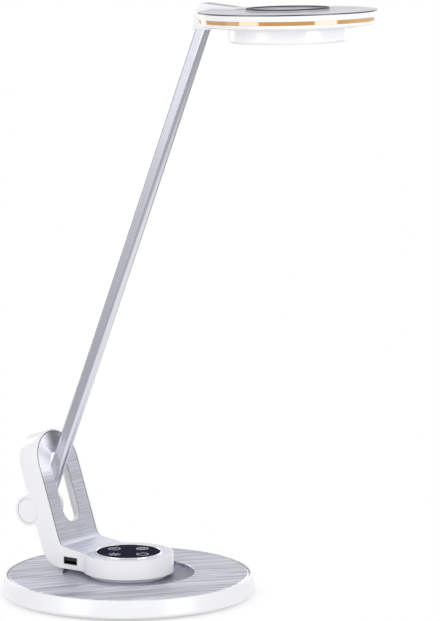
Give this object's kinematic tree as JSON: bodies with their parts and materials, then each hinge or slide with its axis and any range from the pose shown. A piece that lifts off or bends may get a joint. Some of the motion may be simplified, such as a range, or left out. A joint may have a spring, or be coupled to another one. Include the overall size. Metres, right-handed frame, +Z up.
{
  "type": "table lamp",
  "caption": "Desk lamp with a round weighted base, a swivelling L-shaped bracket with touch keys and a USB socket, a slim arm that swings through a slot, and a round tilting LED head.",
  "frame": {"origin": "centre of the base, on the table", "axes": "+X forward from the upright towards the head, +Z up, +Y to the left seen from behind the upright, away from the USB socket"},
  "size_m": [0.3189, 0.2, 0.4667],
  "materials": {
    "white_plastic": "smooth glossy white moulding",
    "brushed_aluminium": "fine straight brushed grain",
    "painted_knuckle": "white painted casting",
    "dark_disc": "satin dark grey anodised sheet",
    "black_plastic": "matt black moulding",
    "steel_plate": "plain rolled plate",
    "steel_parts": "zinc plated",
    "brass_parts": "plain turned brass",
    "rubber_pad": "matt black rubber",
    "touch_glass": "glossy near black touch panel",
    "chrome_trim": "polished bright trim",
    "mark_print": "pale printed marks",
    "circuit_board": "green solder mask",
    "socket_tongue": "pale moulded tongue",
    "wire_jacket": "black wire sheath",
    "amber_plastic": "amber tinted light band",
    "heat_spreader": "plain rolled sheet",
    "led_board": "white solder mask",
    "led_chips": "yellow phosphor",
    "diffuser_plastic": "opal white light cover"
  },
  "bodies": {
    "base": {"base_shell": "white_plastic", "base_top_plate": "brushed_aluminium", "sunk_disc": "dark_disc", "glide_ring": "black_plastic", "swivel_bush": "black_plastic", "ballast_plate": "steel_plate", "ballast_screws": "steel_parts", "bottom_cover": "black_plastic", "cover_screws": "steel_parts", "rubber_pad": "rubber_pad", "power_inlet": "black_plastic", "power_inlet_pin": "brass_parts"},
    "bracket": {"bracket_shell": "white_plastic", "bracket_panel": "brushed_aluminium", "foot_plate": "steel_plate", "foot_screws": "steel_parts", "swivel_stud": "steel_parts", "spring_washer": "steel_parts", "swivel_nut": "steel_parts", "touch_glass": "touch_glass", "touch_trim_ring": "chrome_trim", "touch_marks": "mark_print", "touch_board": "circuit_board", "control_board": "circuit_board", "usb_shell": "steel_parts", "usb_tongue": "socket_tongue", "hinge_bolt": "steel_parts", "hinge_nut": "steel_parts", "hinge_washers": "brass_parts", "hinge_cap_near": "white_plastic", "hinge_cap_far": "white_plastic"},
    "arm": {"arm_knuckle": "painted_knuckle", "arm_tube": "brushed_aluminium", "arm_top_plug": "black_plastic", "arm_wire": "wire_jacket", "arm_set_screws": "steel_parts"},
    "head": {"neck_shell": "white_plastic", "neck_inlay": "brushed_aluminium", "neck_pin": "steel_parts", "neck_washers": "brass_parts", "neck_screws": "steel_parts", "head_shell": "white_plastic", "amber_band": "amber_plastic", "head_plate": "brushed_aluminium", "centre_ring": "chrome_trim", "centre_disc": "brushed_aluminium", "heat_spreader": "heat_spreader", "led_board": "led_board", "led_chips": "led_chips", "led_screws": "steel_parts", "diffuser": "diffuser_plastic"}
  },
  "joints": [
    {"name": "base_swivel", "type": "hinge", "parent": "base", "child": "bracket", "pos_m": [0, 0, 0.02], "axis": [0, 0, 1], "range_deg": [-90, 90]},
    {"name": "arm_tilt", "type": "hinge", "parent": "bracket", "child": "arm", "pos_m": [-0.08053, 0, 0.06012], "axis": [0, 1, 0], "range_deg": [0, 57]},
    {"name": "head_tilt", "type": "hinge", "parent": "arm", "child": "head", "pos_m": [0.07622, 0, 0.45279], "axis": [0, 1, 0], "range_deg": [-50, 10]}
  ]
}
